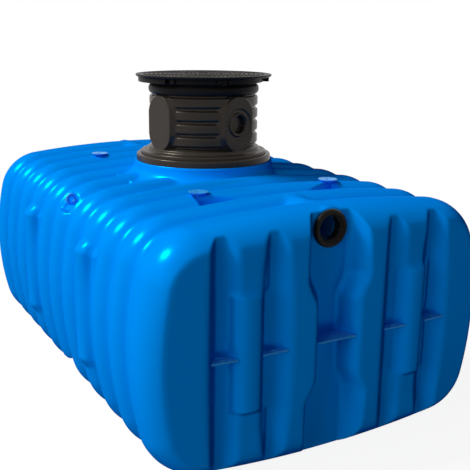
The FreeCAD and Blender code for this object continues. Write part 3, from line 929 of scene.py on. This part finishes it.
def add_camera(scene):
    """The camera as solved from the photograph."""
    lens = bpy.data.cameras.new("view")
    lens.sensor_width = SENSOR_WIDTH
    lens.lens = FOCAL_LENGTH
    lens.shift_x, lens.shift_y = LENS_SHIFT
    camera = bpy.data.objects.new("view", lens)
    scene.collection.objects.link(camera)
    level = math.cos(CAMERA_PITCH)
    ahead = Vector((math.sin(CAMERA_YAW) * level, math.cos(CAMERA_YAW) * level, -math.sin(CAMERA_PITCH)))
    right = Vector((math.cos(CAMERA_YAW), -math.sin(CAMERA_YAW), 0))
    turn = Matrix((right, right.cross(ahead), -ahead)).transposed().to_4x4()
    camera.matrix_world = Matrix.Translation(CAMERA_PLACE) @ turn @ Matrix.Rotation(CAMERA_ROLL, 4, "Z")
    scene.camera = camera


class TANK_OT_shell(Operator):
    """Build the blue shell: roof, sides and both ends as smooth skins"""

    bl_idname = "tank.shell"
    bl_label = "Shell"

    def execute(self, context):
        build_skins(shell_plastic())
        return {"FINISHED"}


class TANK_OT_collar(Operator):
    """Build the flared collar under the shaft"""

    bl_idname = "tank.collar"
    bl_label = "Collar"

    def execute(self, context):
        outline = [(0.36, 1.23), (FLARE_PIECE_RADIUS, collar_level(FLARE_PIECE_RADIUS))]
        for step in range(1, 9):
            radius = FLARE_PIECE_RADIUS - (FLARE_PIECE_RADIUS - FLARE_RADIUS) * step / 8
            part = 1 - (radius - FLARE_RADIUS) / FLARE_WIDTH
            outline.append((radius, FLARE_FOOT + FLARE_PIECE_LIFT + flare_rise(part)))
        outline += [(FLARE_RADIUS, 1.296), (0.408, COLLAR_TOP), (0.36, COLLAR_TOP)]
        piece_from(spun(outline), "roof_collar_flare", shell_plastic(), ["roof_collar"], 50)
        return {"FINISHED"}


class TANK_OT_tabs(Operator):
    """Finish the flat tabs and build the lifting eyes and the roof lugs"""

    bl_idname = "tank.tabs"
    bl_label = "Tabs, eyes and lugs"

    def execute(self, context):
        # Tabs, eyes and lugs take the paler blue, painted light on their tops and rims.
        for node in ("front_tabs", "rear_tabs"):
            carried_over(node, painted_light_blue_plastic())
        holed_plates("lifting_eye", EYE_PLACE, math.pi / 2, EYE_OUTLINE)
        holed_plates("roof_lug", LUG_PLACE, 0, LUG_OUTLINE)
        return {"FINISHED"}


class TANK_OT_seals(Operator):
    """Build the rubber rings and the sleeves behind them in both ports"""

    bl_idname = "tank.seals"
    bl_label = "Port seals"

    def execute(self, context):
        outline = rounded(SEAL_OUTLINE, SEAL_ROUND, 6)
        for name, node, turn in (("front_seal", "inlet_seal", 0), ("rear_seal", "outlet_seal", math.pi)):
            ring = in_port(spun(outline, 96), turn)
            piece_from(ring, name, seal_rubber(), [node], 60)
            sleeve = in_port(spun(SLEEVE_OUTLINE, 96), turn)
            # The sleeves take the paler blue, painted light inside the port.
            piece_from(sleeve, name.replace("seal", "socket"), painted_light_blue_plastic())
        return {"FINISHED"}


class TANK_OT_base(Operator):
    """Build the shaft's stepped base"""

    bl_idname = "tank.base"
    bl_label = "Shaft base"

    def execute(self, context):
        outline = [(BORE_RADIUS, COLLAR_TOP)]
        outline += bent([(0.4005, COLLAR_TOP), (0.4005, 1.3385), (0.3745, 1.3405), (0.3745, 1.3365)], 0.011)
        outline += bent([(0.3735, 1.3365), (0.3735, 1.3575), (0.350, 1.3600), (0.350, 1.3570)], 0.009)
        outline += bent([(0.349, 1.3580), (0.335, 1.3640), (0.330, 1.3790), (0.3215, 1.3835),
                         (0.307, BASE_TOP)], 0.008)
        outline += [(BORE_RADIUS, BASE_TOP)]
        piece_from(spun(outline, 256), "shaft_base_ring", shaft_plastic(), ["shaft_base"])
        return {"FINISHED"}


class TANK_OT_neck(Operator):
    """Build the ribbed neck with its four flat pads"""

    bl_idname = "tank.neck"
    bl_label = "Shaft neck"

    def execute(self, context):
        shape = bmesh.new()
        bmesh.ops.create_grid(shape, x_segments=NECK_GRID[0], y_segments=NECK_GRID[1], size=1)
        for vert in shape.verts:
            azimuth = vert.co.x * math.pi
            z = NECK_FOOT + (vert.co.y + 1) / 2 * (NECK_TOP - NECK_FOOT)
            reach = pad_reach(azimuth, z, neck_radius(z))
            vert.co = Vector((reach * math.cos(azimuth), reach * math.sin(azimuth), z))
        bmesh.ops.remove_doubles(shape, verts=shape.verts, dist=MERGE)
        bmesh.ops.recalc_face_normals(shape, faces=shape.faces)
        nodes = ["shaft_neck", "pad_bosses"]
        piece_from(shape, "shaft_neck_ribs", shaft_plastic(), nodes, 50)
        return {"FINISHED"}


class TANK_OT_frame(Operator):
    """Build the bead and the frame with its lobes and latch"""

    bl_idname = "tank.cover_frame"
    bl_label = "Bead and frame"

    def execute(self, context):
        bead = [(BORE_RADIUS, NECK_TOP), (BEAD_SEAT_RADIUS, NECK_TOP)]
        for step in range(13):
            turn = math.pi * (step / 12 - 0.5)
            bead.append((BEAD_SEAT_RADIUS + BEAD_WIDTH * math.cos(turn),
                         BEAD_MIDDLE + BEAD_HALF_HEIGHT * math.sin(turn)))
        bead += [(BEAD_SEAT_RADIUS, BEAD_TOP), (BORE_RADIUS, BEAD_TOP)]
        piece_from(spun(bead, 192), "cover_bead_ring", cover_plastic(), ["cover_bead"])
        skirt = rounded([(BORE_RADIUS, BEAD_TOP), (0.307, BEAD_TOP), (SKIRT_RADIUS, BEAD_TOP + 0.009),
                         (SKIRT_RADIUS, SKIRT_TOP), (BORE_RADIUS, SKIRT_TOP)], 0.003)
        shape = spun(skirt, 192)
        for lobe in LOBES:
            add_lobe(shape, *lobe)
        piece_from(shape, "cover_frame_skirt", cover_plastic(), ["cover_frame"], 40)
        return {"FINISHED"}


class TANK_OT_cover(Operator):
    """Build the cover with its raised rim and rings of knobs"""

    bl_idname = "tank.cover"
    bl_label = "Cover"

    def execute(self, context):
        shape = spun([(0, FRAME_TOP), (0.393, FRAME_TOP), (0.3985, FRAME_TOP + 0.005),
                      (0.3998, COVER_TOP - 0.004), (0.3985, COVER_TOP - 0.0007), (0.3950, COVER_TOP),
                      (0.384, COVER_TOP), (0.3815, COVER_TOP - 0.002), (0, COVER_TOP - 0.0004)], 192)
        gap = finish().knob_gap
        for ring in range(1, int(KNOB_FIELD / gap) + 1):
            radius = ring * gap
            count = max(int(2 * math.pi * radius / gap), 6)
            level = COVER_TOP - KNOB_SINK - COVER_CROWN * (radius / COVER_CROWN_RADIUS) ** 2
            for number in range(count):
                azimuth = 2 * math.pi * (number + 0.5 * (ring % 2)) / count
                place = Matrix.Translation((radius * math.cos(azimuth), radius * math.sin(azimuth), level))
                bmesh.ops.create_cone(shape, cap_ends=True, segments=6, radius1=KNOB_RADII[0],
                                      radius2=KNOB_RADII[1], depth=KNOB_HEIGHT,
                                      matrix=place @ Matrix.Rotation(azimuth, 4, "Z"))
        piece_from(shape, "cover_disc", cover_plastic(), ["cover"], 30)
        return {"FINISHED"}


class TANK_OT_stage(Operator):
    """Set up the pale floor, the lights, the world and the camera"""

    bl_idname = "tank.stage"
    bl_label = "Stage"

    def execute(self, context):
        scene = context.scene
        add_floor(scene)
        add_world(scene)
        add_lights(scene)
        add_camera(scene)
        scene.view_settings.view_transform = "Standard"
        return {"FINISHED"}


OPERATORS = [TANK_OT_shell, TANK_OT_collar, TANK_OT_tabs, TANK_OT_seals, TANK_OT_base, TANK_OT_neck,
             TANK_OT_frame, TANK_OT_cover, TANK_OT_stage]


class TANK_PT_pieces(Panel):
    """The tank's pieces and finishes in the sidebar."""

    bl_label = "Underground water tank"
    bl_space_type = "VIEW_3D"
    bl_region_type = "UI"
    bl_category = "Tank"

    def draw(self, context):
        for name in TankFinish.__annotations__:
            self.layout.prop(context.scene.tank_finish, name)
        for operator in OPERATORS:
            self.layout.operator(operator.bl_idname)


CLASSES = [TankFinish, *OPERATORS, TANK_PT_pieces]


def register():
    """Make the operators, the panel and the finish known to Blender."""
    for item in CLASSES:
        bpy.utils.register_class(item)
    bpy.types.Scene.tank_finish = PointerProperty(type=TankFinish)


def unregister():
    """Take the operators, the panel and the finish away again."""
    del bpy.types.Scene.tank_finish
    for item in reversed(CLASSES):
        bpy.utils.unregister_class(item)


def main():
    """Build all pieces and the stage."""
    register()
    bpy.ops.tank.shell()
    bpy.ops.tank.collar()
    bpy.ops.tank.tabs()
    bpy.ops.tank.seals()
    bpy.ops.tank.base()
    bpy.ops.tank.neck()
    bpy.ops.tank.cover_frame()
    bpy.ops.tank.cover()
    bpy.ops.tank.stage()


if __name__ == "__main__":
    main()
